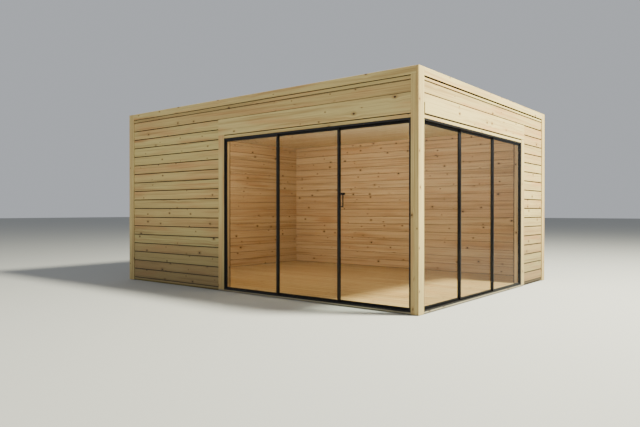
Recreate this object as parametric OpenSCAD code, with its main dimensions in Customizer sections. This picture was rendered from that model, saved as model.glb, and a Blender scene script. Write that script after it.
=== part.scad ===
// Flat-roofed timber garden room with a glazed corner.
// Two three-leaf sliding glass screens meet at a timber corner post.
// The long glazed front faces -Y, the short glazed side faces +X, up is +Z,
// and the origin is on the ground at the middle of the footprint.

/* [Body] */
// Overall width of the front, across the corner boards
body_w = 4980; // [3600:10:8000]
// Overall depth from front to back, across the corner boards
body_d = 3870; // [3300:10:6000]
// Overall height from the ground to the top of the fascia
body_h = 2500; // [2200:10:3000]

/* [Boards] */
// Thickness of the corner, jamb, header and fascia boards
trim_t = 28; // [18:1:45]
// Chamfer along the arrises of those boards
arris = 1.5; // [0.5:0.5:4]
// Width of a corner board
corner_w = 115; // [80:1:160]
// Width of the near corner's front face
post_front_w = 90; // [60:1:140]
// Width of the board beside each screen
jamb_w = 106; // [70:1:150]
// Gap under a corner board
corner_z0 = 4; // [2:1:20]
// Height of the fascia board
fascia_h = 84.7; // [60:0.1:150]
// Face height of one cladding board
board_pitch = 128.8; // [90:0.1:180]
// Height of the top cladding board that shows under the fascia
top_board_h = 47.6; // [20:0.1:120]
// Height of the header board over each screen
header_h = 207.9; // [120:0.1:300]
// Gap at the lower end of the side header, beside the corner post
header_gap = 16; // [2:1:30]
// Height of that gap
header_gap_h = 115; // [40:1:200]
// Height from the lower edge of the header to that of the strip under it
strip_h = 45; // [20:1:80]
// Joint between the header and that strip
strip_gap = 8; // [2:1:15]
// Set-back of that strip behind the face of the boards
strip_set = 4; // [2:1:15]
// Height of the sill strip's lower edge
sill_z0 = 8; // [5:1:20]

/* [Walls] */
// Set-back of the cladding face behind the face of the corner boards
clad_set = 9; // [2:1:20]
// Depth of the wall's lining behind the face of the corner boards
wall_in = 112; // [90:1:200]
// Height of the cladding's lower edge above the ground
clad_z0 = 20; // [10:1:60]

/* [Floor and roof] */
// Height of the bearers under the floor and the walls
base_h = 24; // [20:1:150]
// Width of a floor joist
joist_w = 45; // [30:1:90]
// Number of floor joists between the end bearers
joist_n = 9; // [7:1:14]
// Thickness of the floor boards
floor_t = 19; // [12:1:35]
// Thickness of the ceiling lining
ceiling_t = 14; // [9:1:30]
// Thickness of the roof, from the lining to its deck
roof_t = 126; // [80:1:200]
// Thickness of the roof membrane
membrane_t = 4; // [2:1:8]
// Depth of the roof's deck below the top of the fascia
parapet_h = 70; // [30:1:120]

/* [Sliding screens] */
// Width of one leaf
leaf_w = 920; // [700:1:1000]
// Thickness of one leaf
leaf_t = 16; // [14:1:20]
// Overlap of two neighbouring leaves
leaf_lap = 20; // [16:1:60]
// Face width of a stile
stile_w = 20; // [16:1:60]
// Height of a bottom rail
rail_h = 19; // [19:1:60]
// Height of a top rail
head_rail_h = 26; // [20:1:80]
// Chamfer along the edges of a leaf's frame
leaf_arris = 1; // [0.5:0.5:2]
// Thickness of the glass
glass_t = 8; // [5:1:10]
// Depth of the glass in its groove
glass_bite = 6; // [3:1:6]
// Clearance of the glass in its groove
glass_fit = 0.3; // [0.1:0.1:0.5]
// Running gap between leaves, and between a leaf and the frame
run_gap = 6; // [5:1:10]
// Depth of the frame's outer face behind the boards
frame_r = 3; // [2:1:20]
// Thickness of the frame's lips
lip_t = 4; // [3:1:6]
// Depth that the head's lips hide of a leaf
lip_cover = 5; // [4:1:20]
// Cover of the jamb lips over a leaf's edge
jamb_lap = 4; // [2:1:20]
// Thickness of the sill track's plate
plate_t = 5; // [4:1:8]
// Height of the sill track's lips over its plate
lip_h = 9; // [6:1:20]
// Width of a running rib
rib_w = 3; // [2:0.5:4]
// Height of a running rib
rib_h = 6; // [4:1:8]
// Gap of a leaf's bottom rail over the ribs
rail_gap = 5; // [5:1:8]
// Height of the head section over the leaves
head_h = 10; // [8:1:60]
// Width of the front jamb section beside the corner post
front_jamb_w = 21; // [8:1:80]
// Width of the side jamb section beside the corner post
side_jamb_w = 8; // [6:1:80]
// Width of the front jamb section beside the solid wall
front_far_w = 10; // [6:1:60]
// Width of the side jamb section beside the solid wall
side_far_w = 34; // [6:1:60]

/* [Rollers] */
// Radius of a roller in its groove
roller_r = 6.5; // [5:0.1:7]
// Height of a roller's flanges over its groove
flange_h = 1.2; // [0.5:0.1:1.5]
// Width of a roller
roller_w = 7; // [6:0.5:8]
// Side clearance of a rib in the roller's groove
rib_fit = 0.5; // [0.3:0.1:0.8]
// Radius of a roller's axle
axle_r = 1.5; // [1:0.1:2]
// Running clearance of a roller over its rib
seat_gap = 0.3; // [0.1:0.1:0.5]
// Clearance of a roller in its slot
slot_gap = 1.5; // [1:0.1:2]
// Distance of a roller from the leaf's end
roller_inset_w = 90; // [60:1:200]

/* [Handle] */
// Height of the handle's top above the ground
handle_z = 1250; // [900:1:1400]
// Length of the cross bar
cross_l = 62; // [40:1:90]
// Height of the cross bar
cross_h = 26; // [15:1:40]
// Thickness of the cross bar
cross_t = 10; // [6:1:16]
// Length of the whole handle
grip_l = 165; // [100:1:250]
// Radius of the grip
grip_r = 7; // [5:0.5:12]
// Radius of the two necks
neck_r = 5; // [3:0.5:7]

/* [Hidden] */
round_fn = 48;
cut = 1;
fascia_z0 = body_h - fascia_h;
header_z1 = fascia_z0 - top_board_h - board_pitch;
header_z0 = header_z1 - header_h;
strip_z0 = header_z0 - strip_h;
strip_z1 = header_z0 - strip_gap;
roof_z1 = body_h - parapet_h;
roof_z0 = roof_z1 - roof_t;
ceiling_z = roof_z0 - ceiling_t;
floor_z1 = base_h + floor_t;
frame_r1 = frame_r + 2 * lip_t + 4 * run_gap + 3 * leaf_t;
far_r1 = frame_r + lip_t + 2 * run_gap + leaf_t;
rib_z1 = base_h + plate_t + rib_h;
rail_z0 = rib_z1 + rail_gap;
glass_z0 = rail_z0 + rail_h;
head_z0 = strip_z0 - head_h;
leaf_z1 = head_z0 - run_gap;
glass_z1 = leaf_z1 - head_rail_h;
lip_z0 = leaf_z1 - lip_cover;
leaf_step = leaf_w - leaf_lap;
track_step = leaf_t + run_gap;
roller_out = roller_r + flange_h;
groove_w = rib_w + 2 * rib_fit;
axle_z = rib_z1 + seat_gap + roller_r;
slot_w = roller_w + 2 * slot_gap;
slot_l = 2 * (roller_out + slot_gap);
slot_z1 = axle_z + roller_out + slot_gap;
screen_run = 3 * leaf_w - 2 * leaf_lap;
front_u0 = post_front_w;
front_leaf_u0 = front_u0 + front_jamb_w + run_gap;
front_u1 = front_leaf_u0 + screen_run + run_gap + front_far_w;
front_trim_u1 = front_u1 + jamb_w;
side_u0 = corner_w;
side_leaf_u0 = side_u0 + side_jamb_w + run_gap;
side_u1 = side_leaf_u0 + screen_run + run_gap + side_far_w;
side_trim_u1 = side_u1 + jamb_w;
room_w = body_w - 2 * wall_in;
room_d = body_d - 2 * wall_in;
core_w = body_w - 2 * trim_t;
core_d = body_d - 2 * trim_t;
joist_step = (room_w - joist_n * joist_w) / (joist_n + 1);
pine = [0.80, 0.70, 0.50];
lining = [0.72, 0.52, 0.32];
black = [0.05, 0.05, 0.05];
clear = [0.75, 0.85, 0.85, 0.35];

// Everything on a face of the building is drawn in that face's own terms: x runs
// along the face, y goes in from the face of its boards, and z is up. On the
// front and the side x starts at the near corner, and on the back and the left
// it starts at the corner that those two share.
module on_face(face) {
    if (face == "front")
        translate([body_w / 2, -body_d / 2, 0]) mirror([1, 0, 0]) children();
    if (face == "side")
        translate([body_w / 2, -body_d / 2, 0]) rotate([0, 0, 90]) children();
    if (face == "back")
        translate([-body_w / 2, body_d / 2, 0]) mirror([0, 1, 0]) children();
    if (face == "left")
        translate([-body_w / 2, body_d / 2, 0]) rotate([0, 0, -90]) children();
}

// Runs a section drawn as [depth, height] along the face from x0 to x1.
module along(x0, x1) {
    translate([x0, 0, 0])
        rotate([90, 0, 90])
            linear_extrude(x1 - x0) children();
}

// Runs a section drawn as [x, depth] up from z0 to z1.
module upright(z0, z1) {
    translate([0, 0, z0])
        linear_extrude(z1 - z0) children();
}

// A rectangle from corner to corner.
module rect(a, b) {
    translate(a) square(b - a);
}

// A board's section with its two front arrises taken off: wide along the first
// axis from a to b, and t thick along the second.
module board_section(a, b, t) {
    polygon([[a, arris], [a + arris, 0], [b - arris, 0], [b, arris], [b, t], [a, t]]);
}

// A level board on a face, from x0 to x1 and from z0 to z1, with its face set
// back by set.
module level_board(face, x0, x1, z0, z1, set = 0) {
    color(pine)
        on_face(face)
            along(x0, x1)
                translate([set, 0]) mirror([1, -1, 0]) board_section(z0, z1, trim_t - set);
}

// An upright board on a face, from x0 to x1 and from z0 to z1.
module standing_board(face, x0, x1, z0, z1) {
    color(pine)
        on_face(face)
            upright(z0, z1) board_section(x0, x1, trim_t);
}

// A sheet centred on the footprint.
module sheet(w, d, z0, z1) {
    translate([0, 0, z0])
        linear_extrude(z1 - z0) square([w, d], center = true);
}

// Bearers under the walls, with joists under the floor.
module base_frame() {
    color(pine)
        linear_extrude(base_h)
            difference() {
                square([core_w, core_d], center = true);
                for (i = [0:joist_n])
                    translate([i * (joist_step + joist_w) - room_w / 2, -room_d / 2])
                        square([joist_step, room_d]);
            }
}

// The floor runs on into both screens' openings, up to their tracks. Its outline
// is drawn in the front's terms, from the corner post round the room.
module floor_deck() {
    far_x = body_w - wall_in;
    far_y = body_d - wall_in;
    color(pine)
        on_face("front")
            upright(base_h, floor_z1)
                polygon([[frame_r1, side_u0], [wall_in, side_u0], [wall_in, wall_in],
                    [front_u0, wall_in], [front_u0, frame_r1], [front_u1, frame_r1],
                    [front_u1, wall_in], [far_x, wall_in], [far_x, far_y], [wall_in, far_y],
                    [wall_in, side_u1], [frame_r1, side_u1]]);
}

module front_sill() {
    level_board("front", front_u0, front_trim_u1, sill_z0, base_h);
}

module side_sill() {
    level_board("side", side_u0, side_trim_u1, sill_z0, base_h);
}

// A wall's plan is its studs and lining, with the cladding before them. The
// cladding stops at the boards beside it and hangs below the wall's foot.
module wall(face, core, clad) {
    color(pine)
        on_face(face)
            union() {
                upright(base_h, roof_z0) rect([core[0], trim_t], [core[1], wall_in]);
                upright(clad_z0, fascia_z0) rect([clad[0], clad_set], [clad[1], trim_t]);
            }
}

module front_wall() {
    wall("front", [front_u1, body_w - trim_t], [front_trim_u1, body_w - corner_w]);
}

module side_wall() {
    wall("side", [side_u1, body_d - wall_in], [side_trim_u1, body_d - corner_w]);
}

module back_wall() {
    wall("back", [trim_t, body_w - trim_t], [corner_w, body_w - corner_w]);
}

module left_wall() {
    wall("left", [wall_in, body_d - wall_in], [corner_w, body_d - corner_w]);
}

// The wall over a screen, clad only above its header board.
module lintel(face, x0, x1, clad_x1) {
    color(pine)
        on_face(face)
            union() {
                along(x0, x1) rect([trim_t, strip_z0], [wall_in, roof_z0]);
                along(x0, clad_x1) rect([clad_set, header_z1], [trim_t, fascia_z0]);
            }
}

module front_lintel() {
    lintel("front", front_u0, front_u1, front_trim_u1);
}

module side_lintel() {
    lintel("side", side_u0, side_u1, side_trim_u1);
}

module corner_post() {
    color(pine)
        on_face("front")
            upright(base_h, roof_z0) rect([trim_t, trim_t], [front_u0, side_u0]);
}

module front_header() {
    level_board("front", front_u0, front_trim_u1, header_z0, header_z1);
}

// The side header's lower end stops short of the corner boards.
module side_header() {
    difference() {
        level_board("side", side_u0, side_trim_u1, header_z0, header_z1);
        on_face("side")
            along(side_u0 - cut, side_u0 + header_gap)
                rect([-cut, header_z0 - cut], [trim_t + cut, header_z0 + header_gap_h]);
    }
}

module front_head_strip() {
    level_board("front", front_u0, front_u1, strip_z0, strip_z1, strip_set);
}

module side_head_strip() {
    level_board("side", side_u0, side_u1, strip_z0, strip_z1, strip_set);
}

module front_jamb_trim() {
    standing_board("front", front_u1, front_trim_u1, base_h, header_z0);
}

module side_jamb_trim() {
    standing_board("side", side_u1, side_trim_u1, base_h, header_z0);
}

// Two upright boards that meet in an angle round a corner. The second one
// covers the first one's end, so its edge shows on the first one's face.
module corner_boards(face_a, ax0, ax1, az1, face_b, bx0, bx1) {
    union() {
        standing_board(face_a, ax0, ax1, corner_z0, az1);
        standing_board(face_b, bx0, bx1, corner_z0, body_h);
    }
}

// The front board of this corner stops under the fascia.
module corner_trim_near() {
    corner_boards("front", trim_t, post_front_w, fascia_z0, "side", 0, corner_w);
}

module corner_trim_front_left() {
    corner_boards("front", body_w - corner_w, body_w - trim_t, body_h,
        "left", body_d - corner_w, body_d);
}

module corner_trim_back_left() {
    corner_boards("back", trim_t, corner_w, body_h, "left", 0, corner_w);
}

module corner_trim_back_right() {
    corner_boards("back", body_w - corner_w, body_w - trim_t, body_h,
        "side", body_d - corner_w, body_d);
}

module front_fascia() {
    level_board("front", trim_t, body_w - corner_w, fascia_z0, body_h);
}

module side_fascia() {
    level_board("side", side_u0, body_d - corner_w, fascia_z0, body_h);
}

module back_fascia() {
    level_board("back", corner_w, body_w - corner_w, fascia_z0, body_h);
}

module left_fascia() {
    level_board("left", corner_w, body_d - corner_w, fascia_z0, body_h);
}

module roof_deck() {
    color(pine) sheet(core_w, core_d, roof_z0, roof_z1);
}

module roof_membrane() {
    color(black) sheet(core_w, core_d, roof_z1, roof_z1 + membrane_t);
}

module ceiling_lining() {
    color(lining) sheet(room_w, room_d, ceiling_z, roof_z0);
}

// Depth of the middle of track k; track 0 is the outermost.
function track_mid(k) = frame_r + lip_t + run_gap + leaf_t / 2 + k * track_step;

// The sill track's section: a plate with a lip at each side and, under each
// leaf, a rib with a round head for the rollers.
module sill_section() {
    z1 = base_h + plate_t;
    rect([frame_r, base_h], [frame_r1, z1]);
    for (y = [frame_r, frame_r1 - lip_t])
        rect([y, base_h], [y + lip_t, z1 + lip_h]);
    for (k = [0:2]) {
        rect([track_mid(k) - rib_w / 2, base_h], [track_mid(k) + rib_w / 2, rib_z1 - rib_w / 2]);
        translate([track_mid(k), rib_z1 - rib_w / 2]) circle(d = rib_w, $fn = round_fn);
    }
}

module sill_track(face, x0, x1) {
    color(black)
        on_face(face)
            along(x0, x1) sill_section();
}

module front_sill_track() {
    sill_track("front", front_u0, front_u1);
}

module side_sill_track() {
    sill_track("side", side_u0, side_u1);
}

// The head's section: a web with a lip at each side.
module head_section() {
    rect([frame_r, head_z0], [frame_r1, strip_z0]);
    for (y = [frame_r, frame_r1 - lip_t])
        rect([y, lip_z0], [y + lip_t, strip_z0]);
}

// The jamb beside the corner post closes all three tracks. Its lip is inside
// the room and reaches over the corner leaf's edge.
module near_jamb_section(x0, w) {
    rect([x0, frame_r], [x0 + w, frame_r1]);
    rect([x0, frame_r1 - lip_t], [x0 + w + run_gap + jamb_lap, frame_r1]);
}

// The jamb beside the solid wall closes the fixed leaf's track only, so that
// the wall's end shows behind it. Its lip is outside.
module far_jamb_section(x1, w) {
    rect([x1 - w, frame_r], [x1, far_r1]);
    rect([x1 - w - run_gap - jamb_lap, frame_r], [x1, frame_r + lip_t]);
}

// Head and jambs of a screen; the jambs stand on the sill track.
module door_frame(face, x0, x1, near_w, far_w) {
    z0 = base_h + plate_t + lip_h;
    color(black)
        on_face(face)
            union() {
                along(x0, x1) head_section();
                upright(z0, strip_z0) near_jamb_section(x0, near_w);
                upright(z0, strip_z0) far_jamb_section(x1, far_w);
            }
}

module front_track_frame() {
    door_frame("front", front_u0, front_u1, front_jamb_w, front_far_w);
}

module side_track_frame() {
    door_frame("side", side_u0, side_u1, side_jamb_w, side_far_w);
}

// Place of leaf k along its face; leaf 0 is beside the corner post and runs on
// the innermost track.
function leaf_x0(face, k) = (face == "front" ? front_leaf_u0 : side_leaf_u0) + k * leaf_step;
function leaf_mid(k) = track_mid(2 - k);

module glass(face, k) {
    x0 = leaf_x0(face, k) + stile_w - glass_bite;
    x1 = leaf_x0(face, k) + leaf_w - stile_w + glass_bite;
    color(clear)
        on_face(face)
            along(x0, x1)
                rect([leaf_mid(k) - glass_t / 2, glass_z0 - glass_bite],
                    [leaf_mid(k) + glass_t / 2, glass_z1 + glass_bite]);
}

// A leaf's frame section: w wide, with its four edges taken off and the glazing
// groove in its inner edge, which lies at x = w.
module leaf_section(w) {
    c = leaf_arris;
    h = leaf_t / 2;
    g = glass_t / 2 + glass_fit;
    difference() {
        polygon([[0, c - h], [c, -h], [w - c, -h], [w, c - h],
            [w, h - c], [w - c, h], [c, h], [0, h - c]]);
        rect([w - glass_bite - glass_fit, -g], [w + cut, g]);
    }
}

// A roller: two flanges with a groove for the rib's head.
module roller() {
    rotate([90, 0, 0])
        rotate_extrude($fn = round_fn)
            polygon([[0, -roller_w / 2], [roller_out, -roller_w / 2], [roller_out, -groove_w / 2],
                [roller_r, -groove_w / 2], [roller_r, groove_w / 2], [roller_out, groove_w / 2],
                [roller_out, roller_w / 2], [0, roller_w / 2]]);
}

module axle() {
    rotate([90, 0, 0])
        cylinder(h = leaf_t - 2 * leaf_arris, r = axle_r, center = true, $fn = round_fn);
}

// A leaf's frame: two stiles, a top rail and a bottom rail between them, and
// two rollers on axles in slots in the bottom rail.
module leaf(face, k) {
    roller_x = [roller_inset_w, leaf_w - roller_inset_w];
    color(black)
        on_face(face)
            translate([leaf_x0(face, k), leaf_mid(k), 0])
                union() {
                    upright(rail_z0, leaf_z1) leaf_section(stile_w);
                    upright(rail_z0, leaf_z1)
                        translate([leaf_w, 0]) mirror([1, 0]) leaf_section(stile_w);
                    translate([0, 0, leaf_z1])
                        along(stile_w, leaf_w - stile_w)
                            rotate(-90) leaf_section(head_rail_h);
                    difference() {
                        translate([0, 0, rail_z0])
                            along(stile_w, leaf_w - stile_w)
                                rotate(90) leaf_section(rail_h);
                        for (x = roller_x)
                            translate([x - slot_l / 2, -slot_w / 2, rail_z0 - cut])
                                cube([slot_l, slot_w, slot_z1 - rail_z0 + cut]);
                    }
                    for (x = roller_x)
                        translate([x, 0, axle_z]) {
                            roller();
                            axle();
                        }
                }
}

module front_leaf_corner() {
    leaf("front", 0);
}

module front_leaf_middle() {
    leaf("front", 1);
}

module front_leaf_fixed() {
    leaf("front", 2);
}

module side_leaf_corner() {
    leaf("side", 0);
}

module side_leaf_middle() {
    leaf("side", 1);
}

module side_leaf_fixed() {
    leaf("side", 2);
}

module front_glass_corner() {
    glass("front", 0);
}

module front_glass_middle() {
    glass("front", 1);
}

module front_glass_fixed() {
    glass("front", 2);
}

module side_glass_corner() {
    glass("side", 0);
}

module side_glass_middle() {
    glass("side", 1);
}

module side_glass_fixed() {
    glass("side", 2);
}

// The cross bar's outline: a bar with round ends, centred.
module cross_outline() {
    square([cross_l - cross_h, cross_h], center = true);
    for (side = [-1, 1])
        translate([side * (cross_l - cross_h) / 2, 0]) circle(d = cross_h, $fn = round_fn);
}

// The inside handle of the front corner leaf: a round grip with a cross bar at
// its top, on two necks that keep it clear of the frame and of the wall.
module front_handle() {
    y0 = leaf_mid(0) + leaf_t / 2;
    y1 = wall_in + run_gap;
    cross_z = handle_z - cross_h / 2;
    low_z = handle_z - grip_l + grip_r;
    color(black)
        on_face("front")
            translate([front_leaf_u0 + leaf_w - stile_w / 2, 0, 0])
                union() {
                    translate([0, y1 + grip_r, low_z - grip_r])
                        cylinder(h = cross_z - low_z + grip_r, r = grip_r, $fn = round_fn);
                    for (z = [low_z, cross_z])
                        translate([0, y0, z])
                            rotate([-90, 0, 0])
                                cylinder(h = y1 + grip_r - y0, r = neck_r, $fn = round_fn);
                    translate([0, y1 + cross_t, cross_z])
                        rotate([90, 0, 0])
                            linear_extrude(cross_t) cross_outline();
                }
}

base_frame();
floor_deck();
front_sill();
side_sill();
front_wall();
side_wall();
back_wall();
left_wall();
front_lintel();
side_lintel();
corner_post();
front_header();
side_header();
front_head_strip();
side_head_strip();
front_jamb_trim();
side_jamb_trim();
corner_trim_near();
corner_trim_front_left();
corner_trim_back_left();
corner_trim_back_right();
front_fascia();
side_fascia();
back_fascia();
left_fascia();
roof_deck();
roof_membrane();
ceiling_lining();
front_sill_track();
side_sill_track();
front_track_frame();
side_track_frame();
front_leaf_corner();
front_leaf_middle();
front_leaf_fixed();
side_leaf_corner();
side_leaf_middle();
side_leaf_fixed();
front_glass_corner();
front_glass_middle();
front_glass_fixed();
side_glass_corner();
side_glass_middle();
side_glass_fixed();
front_handle();
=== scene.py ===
import math
import random
import bpy
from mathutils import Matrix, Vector


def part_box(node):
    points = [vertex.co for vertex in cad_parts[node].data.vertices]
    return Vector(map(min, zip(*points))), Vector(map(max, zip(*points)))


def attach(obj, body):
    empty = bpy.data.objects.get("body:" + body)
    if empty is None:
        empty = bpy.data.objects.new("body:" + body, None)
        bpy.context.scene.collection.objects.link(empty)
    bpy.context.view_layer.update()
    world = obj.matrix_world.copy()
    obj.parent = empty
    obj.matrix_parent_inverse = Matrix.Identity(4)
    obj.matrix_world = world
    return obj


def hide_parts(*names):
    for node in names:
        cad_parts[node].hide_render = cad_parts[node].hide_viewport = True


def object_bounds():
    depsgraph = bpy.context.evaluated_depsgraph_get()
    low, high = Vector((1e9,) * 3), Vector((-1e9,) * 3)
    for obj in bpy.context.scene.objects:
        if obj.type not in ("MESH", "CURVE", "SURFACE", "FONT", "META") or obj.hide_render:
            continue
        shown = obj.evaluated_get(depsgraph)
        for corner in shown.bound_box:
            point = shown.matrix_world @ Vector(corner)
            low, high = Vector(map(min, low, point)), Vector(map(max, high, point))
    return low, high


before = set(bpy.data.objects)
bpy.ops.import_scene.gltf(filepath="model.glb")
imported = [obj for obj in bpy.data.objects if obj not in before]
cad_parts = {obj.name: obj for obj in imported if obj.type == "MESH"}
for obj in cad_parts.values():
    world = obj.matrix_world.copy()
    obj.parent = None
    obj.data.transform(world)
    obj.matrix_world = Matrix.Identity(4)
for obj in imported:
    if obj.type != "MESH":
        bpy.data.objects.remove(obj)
cad_low, cad_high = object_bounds()

# The camera stands about a metre over the ground, in front of the glazed corner.
# It looks at the corner from the right of the front, nearly level.
camera_place = (5.330, -7.060, 1.0485)
camera_turn = math.radians(38.62)
camera_tilt = math.radians(-0.28)
camera_lens = 32.71
sensor_width = 36
farthest_seen = 200
bpy.ops.object.select_all(action="DESELECT")
bpy.ops.object.camera_add(location=camera_place,
                          rotation=(math.pi / 2 + camera_tilt, 0, camera_turn))
camera = bpy.context.object
camera.data.lens = camera_lens
camera.data.sensor_width = sensor_width
camera.data.clip_end = farthest_seen
bpy.context.scene.camera = camera

# The pod stands on a plain pale floor under soft light. The key light on the
# right makes the short side bright and leaves the long front in open shade. A
# long slim light inside, over the front screen, brightens lining and ceiling.
floor_reach = 160
floor_grey = (0.32, 0.325, 0.31, 1)
floor_rough = 0.8
sky_colour = (0.86, 0.90, 0.96, 1)
sky_strength = 0.53
bpy.ops.mesh.primitive_plane_add(size=floor_reach)
ground = bpy.context.object
ground.name = "studio_floor"
ground_paint = bpy.data.materials.new("studio_floor")
ground_paint.use_nodes = True
ground_shader = ground_paint.node_tree.nodes["Principled BSDF"]
ground_shader.inputs["Base Color"].default_value = floor_grey
ground_shader.inputs["Roughness"].default_value = floor_rough
ground.data.materials.append(ground_paint)

sky = bpy.data.worlds.new("studio")
sky.use_nodes = True
sky_light = sky.node_tree.nodes["Background"]
sky_light.inputs["Color"].default_value = sky_colour
sky_light.inputs["Strength"].default_value = sky_strength
bpy.context.scene.world = sky


def light(name, place, aim, width, height, power, colour):
    """A broad light at a place, turned to a point."""
    bpy.ops.object.light_add(type="AREA", location=place)
    made = bpy.context.object
    made.name = name
    made.rotation_euler = (Vector(aim) - Vector(place)).to_track_quat("-Z", "Y").to_euler()
    made.data.shape = "RECTANGLE"
    made.data.size = width
    made.data.size_y = height
    made.data.energy = power
    made.data.color = colour


light("key_right", place=(7.4, 1.2, 11.0), aim=(2.4, 0.0, 1.2), width=1.8, height=1.8,
      power=9500, colour=(0.99, 0.96, 0.78))
light("fill_front", place=(-3.0, -10.0, 5.5), aim=(0.0, -1.9, 1.2), width=5.0, height=5.0,
      power=180, colour=(1.0, 0.97, 0.92))
light("room_glow", place=(0.1, -1.68, 2.16), aim=(0.0, 1.6, 2.9), width=4.2, height=0.16,
      power=104, colour=(1.0, 0.97, 0.95))


# The bearers are rough green-treated timber. They lie on the ground under the
# walls, with joists between them, and carry the floor boards.
class Tone:
    """A number, colour or direction in a finish. Sums and products of tones are nodes."""

    def __init__(self, tree, socket):
        self.tree = tree
        self.socket = socket

    def node(self, kind, settings, inputs, output=0):
        """Any node: its settings, then the values or tones of its sockets."""
        made = self.tree.nodes.new(kind)
        for name, value in settings.items():
            setattr(made, name, value)
        for name, value in inputs.items():
            if isinstance(value, Tone):
                self.tree.links.new(value.socket, made.inputs[name])
            else:
                made.inputs[name].default_value = value
        return Tone(self.tree, made.outputs[output])

    def maths(self, operation, first, second):
        return self.node("ShaderNodeMath", {"operation": operation}, {0: first, 1: second})

    def __add__(self, other):
        return self.maths("ADD", self, other)

    def __radd__(self, other):
        return self.maths("ADD", other, self)

    def __sub__(self, other):
        return self.maths("SUBTRACT", self, other)

    def __rsub__(self, other):
        return self.maths("SUBTRACT", other, self)

    def __mul__(self, other):
        return self.maths("MULTIPLY", self, other)

    def __rmul__(self, other):
        return self.maths("MULTIPLY", other, self)

    def __truediv__(self, other):
        return self.maths("DIVIDE", self, other)

    def __rtruediv__(self, other):
        return self.maths("DIVIDE", other, self)

    def __pow__(self, other):
        return self.maths("POWER", self, other)

    def __rpow__(self, other):
        return self.maths("POWER", other, self)

    def rise(self, low, high):
        """0 at low and 1 at high, with a soft start and end; falls where low is the higher."""
        return self.node("ShaderNodeMapRange", {"interpolation_type": "SMOOTHSTEP"},
                         {"Value": self, "From Min": low, "From Max": high})

    def axes(self):
        """The three lengths of a place or a direction."""
        return [self.node("ShaderNodeSeparateXYZ", {}, {"Vector": self}, axis) for axis in "XYZ"]

    def mix(self, first, second):
        """The first colour where this tone is 0 and the second where it is 1. The Mix node's
        sockets 6 and 7, and its output 2, are the ones for colours."""
        return self.node("ShaderNodeMix", {"data_type": "RGBA"}, {0: self, 6: first, 7: second}, 2)

    def noise(self, along, across, depth, detail=2.0, rough=0.5):
        """Cloudy noise over three lengths, from 0 to 1."""
        place = self.node("ShaderNodeCombineXYZ", {}, {0: along, 1: across, 2: depth})
        return self.node("ShaderNodeTexNoise", {}, {"Vector": place, "Scale": 1.0,
                                                    "Detail": detail, "Roughness": rough})

    def speckle(self, often, detail=2.0, rough=0.5):
        """Noise that is alike in all directions, with so many specks in a metre."""
        return self.noise(*(length * often for length in self.axes()), detail, rough)


def new_finish(name):
    """A new material, its shader, and the place in it of a point on the object."""
    made = bpy.data.materials.new(name)
    made.use_nodes = True
    tree = made.node_tree
    shader = tree.nodes["Principled BSDF"]
    start = Tone(tree, None)
    place = start.node("ShaderNodeTexCoord", {}, {}, "Object")
    return made, shader, place


def feed(shader, name, tone):
    """Links a tone to a socket of the shader."""
    tone.tree.links.new(tone.socket, shader.inputs[name])


def relief(shader, height, strength, depth):
    """Makes light catch on a surface as if it were raised by a height, up to a depth."""
    feed(shader, "Normal", height.node("ShaderNodeBump", {}, {"Strength": strength,
                                                              "Distance": depth,
                                                              "Height": height}))


def dye(red, green, blue):
    """A colour given as on a screen, as the light that it sends back."""
    return tuple(((c / 255 + 0.055) / 1.055) ** 2.4 for c in (red, green, blue)) + (1.0,)


knot_cell = (0.46, 0.118)
knot_loose = 0.8
knot_share = 0.60
knot_fade = 0.02
knot_radius = (0.0038, 0.0112)
small_knots = 1.6
knot_stretch = 0.66

# From its edge to its middle, in radii of the knot: the knot itself, the darker
# wood round it, and the grain that bends round both.
knot_heart = (1.2, 0.75)
knot_halo = (3.4, 0.9)
knot_swerve = (9.0, 0.0)
swerve_share = 0.72
grain_sway = 0.016

# Marks in the wood: how many come in a metre along the grain and across it, and
# the detail and the roughness of their noise.
wander_marks = (1.1, 5.0, 1.0, 0.5)
broad_marks = (0.55, 21.0, 3.0, 0.6)
ring_marks = (0.8, 95.0, 2.0, 0.5)
fine_marks = (7.0, 620.0, 2.0, 0.6)
cloud_marks = (1.6, 3.0, 2.0, 0.5)
blush_marks = (0.9, 9.0, 2.0, 0.5)

cloud_slice = 5.0
blush_slice = 9.0
flush_turns = 7.3
pale_to_fresh = (0.10, 0.90)
end_facing = (0.6, 0.95)
# How far a face turns down before it gets painted shade under it.
under_facing = (-0.6, -0.95)

knot_brown = dye(54, 30, 15)
# A dark brown for dirt and for painted shade: in joints, under edges and along painted shadow
# lines.
shade_and_dirt_brown = dye(46, 32, 19)
# Towards the ground the wood turns greyer and darker, from nothing at this height to full at the
# ground.
toward_ground_grey = dye(74, 66, 50)
toward_ground_height = 1.3
# End grain's own darker tone, made darker still as painted shade.
end_grain_and_shade_brown = dye(62, 45, 28)
cut_shift = (41.0, 13.7)
# How dark the painted shadow lines along edges get.
painted_shadow_share = 0.95
gloss_spread = 0.14
knot_gloss = 0.15
wood_shine = 0.25


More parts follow.
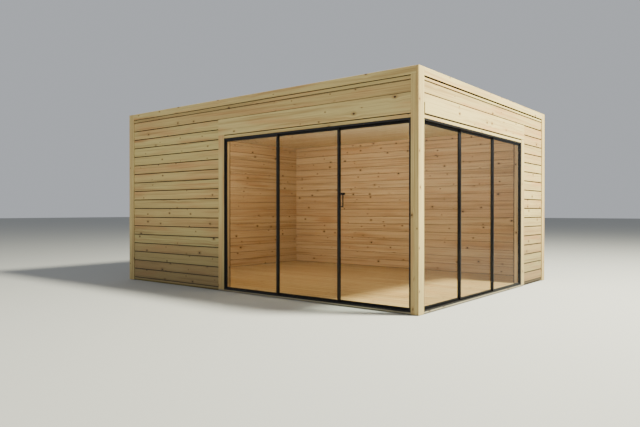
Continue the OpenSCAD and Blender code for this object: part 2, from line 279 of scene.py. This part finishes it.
def timber(name, along, tones, foot=0.0, rough=0.62, number=0.0, second=0.0, under=0.0, painted_shadows=()):
    """Softwood with its grain along X, Y or Z, in a pale, a fresh, a warm and a streak tone.
    A board's number gives its own cut, tint and knots, and second is what the front board of a
    corner adds to it. Joints are darker with dirt and painted shade, end grain is darker as its
    own tone and as painted shade, and undersides are darker with painted shade. The last argument
    gives a lit and a shaded height for each painted shadow line along an edge. Foot is how much
    greyer and darker the wood turns towards the ground."""
    pale, fresh, warm, streak = tones
    made, shader, place = new_finish(name)
    split = place.axes()
    facing = place.node("ShaderNodeTexCoord", {}, {}, "Normal").axes()
    length = split["XYZ".index(along)]
    width = sum((split[k] for k in range(3) if "XYZ"[k] != along), 0.0)
    lengthwise = facing["XYZ".index(along)]
    board = place.node("ShaderNodeAttribute", {"attribute_name": "board"}, {}, "Fac") + number
    joint = place.node("ShaderNodeAttribute", {"attribute_name": "joint"}, {}, "Fac")
    if second:
        board = board + place.maths("GREATER_THAN", facing[1] * facing[1], 0.5) * second
    length = length + board * cut_shift[0]
    width = width + board * cut_shift[1]

    # Knots lie in a loose grid of cells, and about six cells in ten have one.
    cell = place.node("ShaderNodeCombineXYZ", {},
                      {0: length / knot_cell[0], 1: width / knot_cell[1], 2: board})
    grid = {"Vector": cell, "Scale": 1.0, "Randomness": knot_loose}
    middle = place.node("ShaderNodeTexVoronoi", {}, grid, "Position").axes()
    chance = place.node("ShaderNodeTexVoronoi", {}, grid, "Color").axes()
    off_length = length - middle[0] * knot_cell[0]
    off_width = width - middle[1] * knot_cell[1]
    there = chance[0].rise(1 - knot_share, 1 + knot_fade - knot_share)
    radius = chance[1] ** small_knots * (knot_radius[1] - knot_radius[0]) + knot_radius[0]
    reach = ((off_length * knot_stretch) ** 2.0 + off_width ** 2.0) ** 0.5 / radius
    heart = reach.rise(*knot_heart) * there
    halo = reach.rise(*knot_halo) * there
    swerve = reach.rise(*knot_swerve) * there

    def marks(kind, across, depth):
        """One kind of mark over the board, in the slice of noise at a depth."""
        often_along, often_across, detail, roughness = kind
        return place.noise(length * often_along, across * often_across, depth, detail, roughness)

    # The grain runs along the board and bends round the knots.
    wander = marks(wander_marks, width, board)
    grain = width - off_width * swerve * swerve_share + (wander - 0.5) * grain_sway
    broad = marks(broad_marks, grain, board)
    ring = marks(ring_marks, grain, board)
    fine = marks(fine_marks, grain, board)
    cloud = marks(cloud_marks, width, board + cloud_slice)
    blush = marks(blush_marks, grain, board + blush_slice)
    flush = place.maths("FRACT", board * flush_turns, 0.0)

    # A tint starts to show and is full at two levels of its mark, and has its own strength.
    tint = board.rise(*pale_to_fresh).mix(pale, fresh)
    for mark, start, full, share, colour in (
            (flush, 0.55, 0.95, 0.42, warm), (blush, 0.46, 0.72, 0.85, warm),
            (cloud, 0.35, 0.70, 0.35, pale), (broad, 0.46, 0.74, 0.60, streak),
            (ring, 0.50, 0.68, 0.36, streak), (fine, 0.35, 0.75, 0.20, streak)):
        tint = (mark.rise(start, full) * share).mix(tint, colour)
    # Knots and their halos are the wood's own colour. Joint faces darken as dirt and as painted
    # shade in the gaps, and end grain as its own tone and as painted shade.
    cut_end = (lengthwise * lengthwise).rise(*end_facing)
    for part, share, colour in ((halo, 0.60, streak), (heart, 0.97, knot_brown),
                                (joint, 0.95, shade_and_dirt_brown), (cut_end, 0.90, end_grain_and_shade_brown)):
        tint = (part * share).mix(tint, colour)
    # Faces that turn down get painted shade.
    if under:
        tint = (facing[2].rise(*under_facing) * under).mix(tint, shade_and_dirt_brown)
    # Painted shadow lines: darker from a lit height to a shaded one.
    for lit_height, shaded_height in painted_shadows:
        tint = (split[2].rise(lit_height, shaded_height) * painted_shadow_share).mix(tint, shade_and_dirt_brown)
    # Greyer and darker towards the ground.
    if foot:
        tint = (split[2].rise(toward_ground_height, 0.0) * foot).mix(tint, toward_ground_grey)
    feed(shader, "Base Color", tint)
    feed(shader, "Roughness", fine * gloss_spread + (rough - gloss_spread / 2) - heart * knot_gloss)
    relief(shader, fine * 0.35 + ring * 0.45 + heart * 0.6, strength=0.35, depth=0.0007)
    shader.inputs["Specular IOR Level"].default_value = wood_shine
    return made


def dress(node, finish):
    """Gives a CAD node a finish."""
    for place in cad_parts[node].material_slots:
        place.material = finish


bearer_tones = (dye(128, 118, 76), dye(138, 124, 82), dye(118, 98, 60), dye(84, 66, 38))
dress("base_frame", timber("bearer_timber", "X", bearer_tones, rough=0.85))


# The floor is solid boards with eased edges, laid from side to side and nailed
# to the joists. A narrow board in each screen's opening closes it to the track.
body = "building"
floor_low, floor_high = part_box("floor_deck")
room_low, room_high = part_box("ceiling_lining")
front_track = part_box("front_sill_track")
side_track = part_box("side_sill_track")
floor_boards = 28
floor_gap = 0.0012
floor_ease = 0.0018
most_boards = 64
squarely = 0.9
seen_least_area = 0.02


def pick(piece, test):
    """Selects the faces of a piece that pass a test, and leaves it in edit mode."""
    bpy.ops.object.mode_set(mode="OBJECT")
    bpy.ops.object.select_all(action="DESELECT")
    piece.select_set(True)
    bpy.context.view_layer.objects.active = piece
    bpy.ops.object.mode_set(mode="EDIT")
    bpy.ops.mesh.select_mode(type="FACE")
    bpy.ops.mesh.select_all(action="DESELECT")
    bpy.ops.object.mode_set(mode="OBJECT")
    for face in piece.data.polygons:
        face.select = test(face)
    bpy.ops.object.mode_set(mode="EDIT")


def solid(name, low, high):
    """A block from its low corner to its high one, to be shaped further."""
    bpy.ops.object.select_all(action="DESELECT")
    middle = [(a + b) / 2 for a, b in zip(low, high)]
    bpy.ops.mesh.primitive_cube_add(size=1, location=middle,
                                    scale=[b - a for a, b in zip(low, high)])
    piece = bpy.context.object
    piece.name = name
    piece.data.name = name
    bpy.ops.object.transform_apply(location=True, rotation=True, scale=True)
    return piece


def apply(piece, kind, **settings):
    """Adds a modifier to a piece and applies it."""
    bpy.ops.object.select_all(action="DESELECT")
    piece.select_set(True)
    bpy.context.view_layer.objects.active = piece
    made = piece.modifiers.new(kind.lower(), kind)
    for name, value in settings.items():
        setattr(made, name, value)
    bpy.ops.object.modifier_apply(modifier=made.name)


def ease(piece, width):
    """Takes the sharp edges off a piece."""
    apply(piece, "BEVEL", width=width, segments=1, limit_method="ANGLE")


def repeat(piece, step, count):
    """Sets more of the same beside a piece, in its own mesh."""
    apply(piece, "ARRAY", count=count, use_relative_offset=False, use_constant_offset=True,
          constant_offset_displace=step)


def number_boards(piece, axis, start, pitch, seed, seen):
    """Gives each board its own number, and marks the faces in its joints, for its finish to darken
    with dirt and painted shade. The boards follow each other along one axis and show their face
    along another."""
    chance = random.Random(seed)
    numbers = [chance.random() for _ in range(most_boards)]
    piece.data.attributes.new("board", "FLOAT", "FACE")
    piece.data.attributes.new("joint", "FLOAT", "FACE")
    board = piece.data.attributes["board"].data
    joint = piece.data.attributes["joint"].data
    for face in piece.data.polygons:
        board[face.index].value = numbers[int((face.center[axis] - start) / pitch)]
        shows = abs(face.normal[seen]) > squarely and face.area > seen_least_area
        joint[face.index].value = 0.0 if shows else 1.0


def settle(piece, finish, slot, *nodes, on=body):
    """Gives a finished piece its material and its body, and hides the nodes that it stands for. The
    slot is not used.
    """
    piece.data.materials.clear()
    piece.data.materials.append(finish)
    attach(piece, on)
    if nodes:
        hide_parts(*nodes)


floor_pitch = (room_high.y - room_low.y) / floor_boards
floor_piece = solid("floor_boards", (room_low.x, room_low.y + floor_gap / 2, floor_low.z),
                    (room_high.x, room_low.y + floor_pitch - floor_gap / 2, floor_high.z))
ease(floor_piece, floor_ease)
repeat(floor_piece, (0, floor_pitch, 0), floor_boards)
number_boards(floor_piece, axis=1, start=room_low.y, pitch=floor_pitch, seed=11, seen=2)
floor_tones = (dye(188, 160, 110), dye(178, 146, 96), dye(170, 130, 78), dye(132, 96, 54))
floor_finish = {axis: timber("floor_along_" + axis.lower(), axis, floor_tones, rough=0.42)
                for axis in "XY"}
settle(floor_piece, floor_finish["X"], "floor_boards", "floor_deck")
front_threshold = solid("front_threshold", (front_track[0].x, front_track[1].y, floor_low.z),
                        (front_track[1].x, room_low.y - floor_gap / 2, floor_high.z))
ease(front_threshold, floor_ease)
settle(front_threshold, floor_finish["X"], "floor_boards")
side_threshold = solid("side_threshold",
                       (room_high.x + floor_gap / 2, side_track[0].y, floor_low.z),
                       (side_track[0].x, side_track[1].y, floor_high.z))
ease(side_threshold, floor_ease)
settle(side_threshold, floor_finish["Y"], "floor_boards")


# The walls are studs between two skins of boards. The outside skin is pine
# tongue-and-groove, laid level from corner board to corner board and over the
# screens. Its edges are chamfered, and a narrow gap shows each tongue in shadow.
wall_low, wall_high = cad_low, cad_high
fascia_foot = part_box("front_fascia")[0].z
board_pitch = 0.1288
top_board = 0.0476
top_joint = fascia_foot - top_board
clad_face = 0.009
clad_back = 0.028
clad_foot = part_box("back_wall")[0].z
clad_chamfer = 0.004
lining_face = 0.112
lining_back = 0.099
joint_gap = {"front": 0.005, "side": 0.008, "back": 0.005, "left": 0.005}
tongue_reach = 0.009
tongue_part = (0.42, 0.72)
groove_part = (0.40, 0.74)
groove_spare = 0.001
rounding = 0.001
weld = 0.00001
corner_width = 0.115
clad_left = corner_width + 0.003
clad_right = corner_width + 0.008
fascia_gap = {"front": 0.007, "side": 0.016, "back": 0.010, "left": 0.010}
clad_top = {face: fascia_foot - gap for face, gap in fascia_gap.items()}
over_header = {"front": 0.005, "side": 0.009}
lies_along = {"front": "X", "side": "Y", "back": "X", "left": "Y"}


def profile(name, outline, left, right):
    """A length of a section drawn point by point as depth and height, seen from the front."""
    bpy.ops.object.select_all(action="DESELECT")
    bpy.ops.mesh.primitive_plane_add(size=board_pitch)
    piece = bpy.context.object
    piece.name = name
    piece.data.name = name
    bpy.ops.object.mode_set(mode="EDIT")
    bpy.ops.mesh.select_mode(type="VERT")
    bpy.ops.mesh.select_all(action="SELECT")
    bpy.ops.mesh.merge(type="CENTER")
    bpy.ops.transform.translate(value=(left, *outline[0]))
    for start, end in zip(outline, outline[1:] + outline[:1]):
        step = (0, end[0] - start[0], end[1] - start[1])
        bpy.ops.mesh.extrude_vertices_move(TRANSFORM_OT_translate={"value": step})
    bpy.ops.mesh.select_all(action="SELECT")
    bpy.ops.mesh.remove_doubles(threshold=weld)
    bpy.ops.mesh.edge_face_add()
    bpy.ops.mesh.extrude_region_move(TRANSFORM_OT_translate={"value": (right - left, 0, 0)})
    bpy.ops.mesh.select_all(action="SELECT")
    bpy.ops.mesh.normals_make_consistent(inside=False)
    bpy.ops.object.mode_set(mode="OBJECT")
    return piece


def trim(piece, height, keep_above):
    """Saws a piece off at a height."""
    pick(piece, lambda face: True)
    bpy.ops.mesh.bisect(plane_co=(0, 0, height), plane_no=(0, 0, 1), use_fill=True,
                        clear_inner=keep_above, clear_outer=not keep_above)
    bpy.ops.object.mode_set(mode="OBJECT")


def courses(name, left, right, low, high, joint, face, back, chamfer, open_joint, seed):
    """Tongue-and-groove boards, one over the other, sawn off at the lowest and highest edge.
    Joint is the height of one joint, and face and back are how deep the board's two sides lie."""
    inward = 1 if back > face else -1
    thick = abs(back - face)
    gap = open_joint / 2
    tongue = [face + inward * thick * part for part in tongue_part]
    groove = [face + inward * thick * part for part in groove_part]
    edge = face + inward * chamfer
    shoulder = board_pitch - gap
    tongue_top = board_pitch + tongue_reach - gap
    groove_top = gap + tongue_reach + groove_spare
    outline = [(face, gap + chamfer), (face, shoulder - chamfer), (edge, shoulder),
               (tongue[0], shoulder), (tongue[0], tongue_top), (tongue[1], tongue_top),
               (tongue[1], shoulder), (back, shoulder), (back, gap), (groove[1], gap),
               (groove[1], groove_top), (groove[0], groove_top), (groove[0], gap), (edge, gap)]
    below = math.floor((low - joint) / board_pitch + rounding)
    above = math.ceil((high - joint) / board_pitch - rounding)
    lowest_joint = joint + below * board_pitch
    piece = profile(name, outline, left, right)
    piece.location.z = lowest_joint
    bpy.ops.object.transform_apply(location=True, rotation=True, scale=True)
    repeat(piece, (0, 0, board_pitch), above - below)
    trim(piece, low, keep_above=True)
    trim(piece, high, keep_above=False)
    number_boards(piece, axis=2, start=lowest_joint - board_pitch, pitch=board_pitch, seed=seed,
                  seen=1)
    return piece


faces = {"front": (0, wall_low.x, wall_low.y), "side": (90, wall_high.x, wall_low.y),
         "back": (180, wall_high.x, wall_high.y), "left": (270, wall_low.x, wall_high.y)}


def stand(piece, face):
    """Turns a piece drawn as on the front, from its left end, on to its own face."""
    turn, x, y = faces[face]
    bpy.ops.object.select_all(action="DESELECT")
    piece.select_set(True)
    bpy.context.view_layer.objects.active = piece
    piece.rotation_euler.z = math.radians(turn)
    piece.location = (x, y, 0)
    bpy.ops.object.transform_apply(location=True, rotation=True, scale=True)


def join(name, pieces):
    """Makes one piece of several."""
    bpy.ops.object.select_all(action="DESELECT")
    for piece in pieces:
        piece.select_set(True)
    bpy.context.view_layer.objects.active = pieces[0]
    if len(pieces) > 1:
        bpy.ops.object.join()
    pieces[0].name = name
    pieces[0].data.name = name
    return pieces[0]


run = {"front": wall_high.x - wall_low.x, "side": wall_high.y - wall_low.y}
run["back"] = run["front"]
run["left"] = run["side"]
header_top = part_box("front_header")[1].z
header_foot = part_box("front_header")[0].z
front_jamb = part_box("front_jamb_trim")
side_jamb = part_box("side_jamb_trim")
post_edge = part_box("corner_trim_near")[0]
pine_tones = (dye(202, 185, 122), dye(190, 168, 110), dye(192, 145, 94), dye(136, 104, 62))
cladding_finish = {axis: timber("cladding_along_" + axis.lower(), axis, pine_tones, foot=0.60)
                   for axis in "XY"}
wall_rows = {
    "front": [(clad_left, front_jamb[0].x - wall_low.x, clad_foot, header_top),
              (clad_left, post_edge.x - wall_low.x, header_top + over_header["front"],
               clad_top["front"])],
    "side": [(side_jamb[1].y - wall_low.y, run["side"] - clad_right, clad_foot, header_top),
             (clad_left, run["side"] - clad_right, header_top + over_header["side"],
              clad_top["side"])],
    "back": [(clad_left, run["back"] - clad_right, clad_foot, clad_top["back"])],
    "left": [(clad_left, run["left"] - clad_right, clad_foot, clad_top["left"])]}
wall_nodes = {"front": ("front_wall", "front_lintel"), "side": ("side_wall", "side_lintel"),
              "back": ("back_wall",), "left": ("left_wall",)}
for face, rows in wall_rows.items():
    sets = [courses("rows", *row, top_joint, clad_face, clad_back, clad_chamfer, joint_gap[face],
                    seed=20 * k + len(face))
            for k, row in enumerate(rows)]
    skin = join(face + "_cladding", sets)
    stand(skin, face)
    settle(skin, cladding_finish[lies_along[face]], "pine_cladding", *wall_nodes[face])


# Inside, thinner boards of a warmer tone line the walls from the floor to the
# ceiling, and run on over the screens. A plain board lines each opening's end
# and its top, behind the black frame.
ceiling_low, ceiling_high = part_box("ceiling_lining")
front_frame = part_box("front_track_frame")
side_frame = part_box("side_track_frame")
head_top = front_frame[1].z
lining_chamfer = 0.002
lining_joint = 0.005
reveal_thick = 0.012
reveal_ease = 0.001
lining_tones = (dye(200, 168, 120), dye(188, 152, 104), dye(178, 136, 88), dye(130, 98, 60))
lining_finish = {axis: timber("lining_along_" + axis.lower(), axis, lining_tones, rough=0.55)
                 for axis in "XYZ"}
lining_rows = {
    "front": [(lining_back, front_frame[0].x - wall_low.x, floor_high.z, head_top),
              (lining_back, run["front"] - lining_back, head_top, ceiling_low.z)],
    "side": [(side_frame[1].y - wall_low.y, run["side"] - lining_face, floor_high.z, head_top),
             (lining_face, run["side"] - lining_face, head_top, ceiling_low.z)],
    "back": [(lining_back, run["back"] - lining_back, floor_high.z, ceiling_low.z)],
    "left": [(lining_face, run["left"] - lining_face, floor_high.z, ceiling_low.z)]}
for face, rows in lining_rows.items():
    sets = [courses("rows", *row, floor_high.z, lining_face, lining_back, lining_chamfer,
                    lining_joint, seed=31 * k + 7 * len(face))
            for k, row in enumerate(rows)]
    skin = join(face + "_lining", sets)
    stand(skin, face)
    settle(skin, lining_finish[lies_along[face]], "lining_boards", *wall_nodes[face])

opening = {"front": (front_frame[0].x - wall_low.x, front_frame[1].x - wall_low.x),
           "side": (side_frame[0].y - wall_low.y, side_frame[1].y - wall_low.y)}
wall_end = {"front": (opening["front"][0] - reveal_thick, opening["front"][0]),
            "side": (opening["side"][1], opening["side"][1] + reveal_thick)}
for face, (left, right) in opening.items():
    end_board = solid(face + "_end_board", (wall_end[face][0], clad_back, floor_high.z),
                      (wall_end[face][1], lining_back, head_top + reveal_thick))
    over_board = solid(face + "_top_board", (left, clad_back, head_top),
                       (right, lining_back, head_top + reveal_thick))
    for piece, axis in ((end_board, "Z"), (over_board, lies_along[face])):
        ease(piece, reveal_ease)
        stand(piece, face)
        settle(piece, lining_finish[axis], "lining_boards")


# Between the two skins stand the studs and their insulation, closed by a dark
# tarred fibre board. It shows only at the foot and in the joints of the boards,
# and its dark tone is also painted shade in those gaps.
roof_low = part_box("roof_deck")[0]
base_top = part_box("base_frame")[1].z
core_foot = head_top + reveal_thick
core_ease = 0.0008
core_rows = {
    "front": [(clad_back, wall_end["front"][0], base_top, roof_low.z),
              (wall_end["front"][0], opening["front"][1], core_foot, roof_low.z)],
    "side": [(wall_end["side"][1], run["side"] - lining_back, base_top, roof_low.z),
             (opening["side"][0], wall_end["side"][1], core_foot, roof_low.z)],
    "back": [(clad_back, run["back"] - clad_back, base_top, roof_low.z)],
    "left": [(lining_back, run["left"] - lining_back, base_top, roof_low.z)]}
sheathing_and_gap_shade_tones = (dye(44, 37, 30), dye(40, 33, 27), dye(37, 30, 24), dye(28, 22, 17))
sheathing = timber("sheathing", "Z", sheathing_and_gap_shade_tones, rough=0.8)
for face, rows in core_rows.items():
    blocks = [solid("block", (left, clad_back, low), (right, lining_back, high))
              for left, right, low, high in rows]
    core = join(face + "_wall_core", blocks)
    ease(core, core_ease)
    stand(core, face)
    settle(core, sheathing, "pine_cladding", *wall_nodes[face])


# Planed pine boards cover the corners, frame the screens and run round the top.
# They are screwed on over the studs, with their arrises taken off. Boards that
# meet have numbers of their own, so that they differ, and the sills have weathered.
# Their undersides are darkened as painted shade.
painted_under_shade = 0.95
trim_tones = (dye(206, 187, 126), dye(196, 173, 114), dye(196, 152, 98), dye(142, 108, 62))
trim_boards = (("X", 0.42, 0.0, "front_fascia", "back_fascia"),
               ("X", 0.21, 0.0, "front_header"),
               ("Y", 0.18, 0.0, "side_fascia", "left_fascia"),
               ("Z", 0.28, 0.68, "corner_trim_near", "corner_post"),
               ("Z", 0.20, 0.27, "corner_trim_front_left"),
               ("Z", 0.63, 0.19, "corner_trim_back_left", "corner_trim_back_right"),
               ("Z", 0.43, 0.0, "front_jamb_trim", "side_jamb_trim"))
for along, number, second, *nodes in trim_boards:
    board_finish = timber("trim_" + nodes[0], along, trim_tones, foot=0.3, number=number,
                          second=second, under=painted_under_shade)
    for node in nodes:
        dress(node, board_finish)
# Each head strip's top edge gets a painted shadow of the header above it.
for node, along, number, reach in (("front_head_strip", "X", 0.33, 0.002),
                                   ("side_head_strip", "Y", 0.16, 0.007)):
    strip_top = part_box(node)[1].z
    dress(node, timber(node, along, trim_tones, number=number, under=painted_under_shade,
                       painted_shadows=[(strip_top - reach, strip_top - reach / 2)]))
# The side header's lower and upper edges get painted shadow lines.
header_foot_painted_shadow = (header_foot + 0.007, header_foot + 0.0035)
header_top_painted_shadow = (header_top - 0.008, header_top - 0.003)
dress("side_header", timber("side_header", "Y", trim_tones, number=0.28, under=painted_under_shade,
                            painted_shadows=[header_foot_painted_shadow, header_top_painted_shadow]))
sill_tones = (dye(150, 143, 120), dye(138, 130, 106), dye(132, 116, 90), dye(98, 86, 64))
dress("front_sill", timber("front_sill", "X", sill_tones, number=0.3, under=painted_under_shade))
dress("side_sill", timber("side_sill", "Y", sill_tones, number=0.7, under=painted_under_shade))


# The roof is flat behind the fascia. A rubber sheet lies on its boards, with
# laps between its widths, and is turned up against the back of the fascia.
dress("roof_deck", sheathing)
sheet_low, sheet_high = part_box("roof_membrane")
sheet_thick = sheet_high.z - sheet_low.z
sheet_ease = 0.001
upturn = 0.052
upturn_most_area = 1
roof_sheet = solid("roof_sheet", sheet_low, sheet_high)
pick(roof_sheet, lambda face: face.normal.z > squarely)
bpy.ops.mesh.inset(thickness=sheet_thick, depth=0)
pick(roof_sheet, lambda face: face.normal.z > squarely and face.area < upturn_most_area)
bpy.ops.mesh.extrude_region_move(TRANSFORM_OT_translate={"value": (0, 0, upturn)})
bpy.ops.object.mode_set(mode="OBJECT")
ease(roof_sheet, sheet_ease)
lap_count = 3
lap_width = 0.10
lap_sunk = 0.001
lap_proud = 0.003
lap_ease = 0.002
lap_pitch = (sheet_high.x - sheet_low.x) / (lap_count + 1)
lap_middle = sheet_low.x + lap_pitch
lap = solid("roof_laps",
            (lap_middle - lap_width / 2, sheet_low.y + sheet_thick, sheet_high.z - lap_sunk),
            (lap_middle + lap_width / 2, sheet_high.y - sheet_thick, sheet_high.z + lap_proud))
ease(lap, lap_ease)
repeat(lap, (lap_pitch, 0, 0), lap_count)


rubber_film = 1.3
rubber_specks = 160.0
film_edge = (0.34, 0.76)
film_share = 0.30
speck_share = 0.10


def rubber(name, tone, dust):
    """Matt rubber with a film of dust."""
    made, shader, place = new_finish(name)
    film = place.speckle(rubber_film, detail=4.0, rough=0.6)
    speck = place.speckle(rubber_specks)
    dusty = film.rise(*film_edge) * film_share + speck * speck_share
    feed(shader, "Base Color", dusty.mix(tone, dust))
    feed(shader, "Roughness", film * 0.25 + 0.55)
    relief(shader, speck, strength=0.3, depth=0.001)
    return made


roofing = rubber("roofing", dye(62, 64, 66), dye(112, 110, 104))
settle(roof_sheet, roofing, "roof_membrane", "roof_membrane")
settle(lap, roofing, "roof_membrane")


# The ceiling is pale boards with fine joints. They are laid from side to side
# and nailed under the roof's joists.
ceiling_boards = 28
ceiling_gap = 0.0016
ceiling_ease = 0.002
ceiling_pitch = (ceiling_high.y - ceiling_low.y) / ceiling_boards
ceiling_piece = solid("ceiling_boards",
                      (ceiling_low.x, ceiling_low.y + ceiling_gap / 2, ceiling_low.z),
                      (ceiling_high.x, ceiling_low.y + ceiling_pitch - ceiling_gap / 2,
                       ceiling_high.z))
ease(ceiling_piece, ceiling_ease)
repeat(ceiling_piece, (0, ceiling_pitch, 0), ceiling_boards)
number_boards(ceiling_piece, axis=1, start=ceiling_low.y, pitch=ceiling_pitch, seed=5, seen=2)
ceiling_tones = (dye(246, 236, 208), dye(240, 228, 196), dye(230, 212, 174), dye(208, 184, 142))
ceiling_finish = timber("ceiling_timber", "X", ceiling_tones, rough=0.6)
settle(ceiling_piece, ceiling_finish, "lining_boards", "ceiling_lining")


# The screens run in black powder-coated aluminium: a sill track with three ribs,
# jambs and a deep head, and slim frames with two rollers each.
coat_peel = 900.0
coat_film = 3.0
coat_dust = dye(52, 48, 44)
dust_edge = (0.5, 0.85)
dust_share = 0.15
sheen_spread = 0.16
coat_shine = 0.3


def powder_coat(name, tone, rough):
    """A baked coating with a fine orange-peel skin and a little dust."""
    made, shader, place = new_finish(name)
    peel = place.speckle(coat_peel, detail=1.0)
    film = place.speckle(coat_film, detail=3.0)
    feed(shader, "Base Color", (film.rise(*dust_edge) * dust_share).mix(tone, coat_dust))
    feed(shader, "Roughness", film * sheen_spread + (rough - sheen_spread / 2))
    shader.inputs["Specular IOR Level"].default_value = coat_shine
    relief(shader, peel, strength=0.12, depth=0.0003)
    return made


black_coat = powder_coat("black_coat", dye(14, 12, 12), rough=0.48)
screen_leaves = {"front_leaf_corner": "front_corner_door", "front_leaf_middle": "front_middle_door",
                 "front_leaf_fixed": body, "side_leaf_corner": "side_corner_door",
                 "side_leaf_middle": "side_middle_door", "side_leaf_fixed": body}
for node in ("front_sill_track", "side_sill_track", "front_track_frame", "side_track_frame",
             *screen_leaves):
    dress(node, black_coat)


# Each pane is clear toughened glass, held in the leaf's groove by black rubber
# beads along all four edges, inside and out.
glass_bend = 1.5
glass_green = (0.925, 0.945, 0.932, 1)
glass_dark = (0.02, 0.02, 0.02, 1)
glass_rough = 0.015
smear_often = 2.0
smear_share = 0.02


def clear_glass():
    """Glass that reflects more at a slant and lets the rest through with a faint green tint."""
    made, shader, place = new_finish("clear_glass")
    shader.inputs["Base Color"].default_value = glass_dark
    shader.inputs["Roughness"].default_value = glass_rough
    shader.inputs["Specular IOR Level"].default_value = 1.0
    inside = place.node("ShaderNodeNewGeometry", {}, {}, "Backfacing")
    slant = place.node("ShaderNodeFresnel", {}, {"IOR": glass_bend})
    smear = place.speckle(smear_often, detail=3.0)
    share = place.maths("MINIMUM", slant + smear * smear_share, 1.0) * (1.0 - inside)
    open_air = place.node("ShaderNodeBsdfTransparent", {}, {"Color": glass_green})
    gloss = Tone(made.node_tree, shader.outputs[0])
    pane = place.node("ShaderNodeMixShader", {}, {0: share, 1: open_air, 2: gloss})
    surface = made.node_tree.nodes["Material Output"].inputs["Surface"]
    made.node_tree.links.new(pane.socket, surface)
    return made


glass = clear_glass()
bead_rubber = rubber("bead_rubber", dye(22, 22, 22), dye(40, 40, 40))
bead_width = 0.0025
bead_depth = 0.0024
frame_width = 0.020
rail_height = 0.019
head_rail_height = 0.026
pane_least_area = 0.5
for node, mover in screen_leaves.items():
    pane_node = node.replace("leaf", "glass")
    dress(pane_node, glass)
    leaf_low, leaf_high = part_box(node)
    pane_low, pane_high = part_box(pane_node)
    flat = 1 if node.startswith("front") else 0
    wide = 1 - flat
    beads = []
    for out in (-1, 1):
        low = Vector(leaf_low)
        high = Vector(leaf_high)
        low[wide] += frame_width
        high[wide] -= frame_width
        low.z = leaf_low.z + rail_height
        high.z = leaf_high.z - head_rail_height
        surface = pane_high[flat] if out > 0 else pane_low[flat]
        low[flat] = min(surface, surface + out * bead_depth)
        high[flat] = max(surface, surface + out * bead_depth)
        bead = solid("bead", low, high)
        pick(bead, lambda face: abs(face.normal[flat]) > squarely)
        bpy.ops.mesh.inset(thickness=bead_width, depth=0)
        pick(bead, lambda face: abs(face.normal[flat]) > squarely and face.area > pane_least_area)
        bpy.ops.mesh.bridge_edge_loops()
        bpy.ops.object.mode_set(mode="OBJECT")
        beads.append(bead)
    ring = join(node.replace("leaf", "bead"), beads)
    settle(ring, bead_rubber, "black_frame", on=mover)


# The corner leaf of the front has a black handle on its inner side: a round
# grip under a cross bar, on two necks.
dress("front_handle", powder_coat("handle_coat", dye(20, 20, 21), rough=0.36))
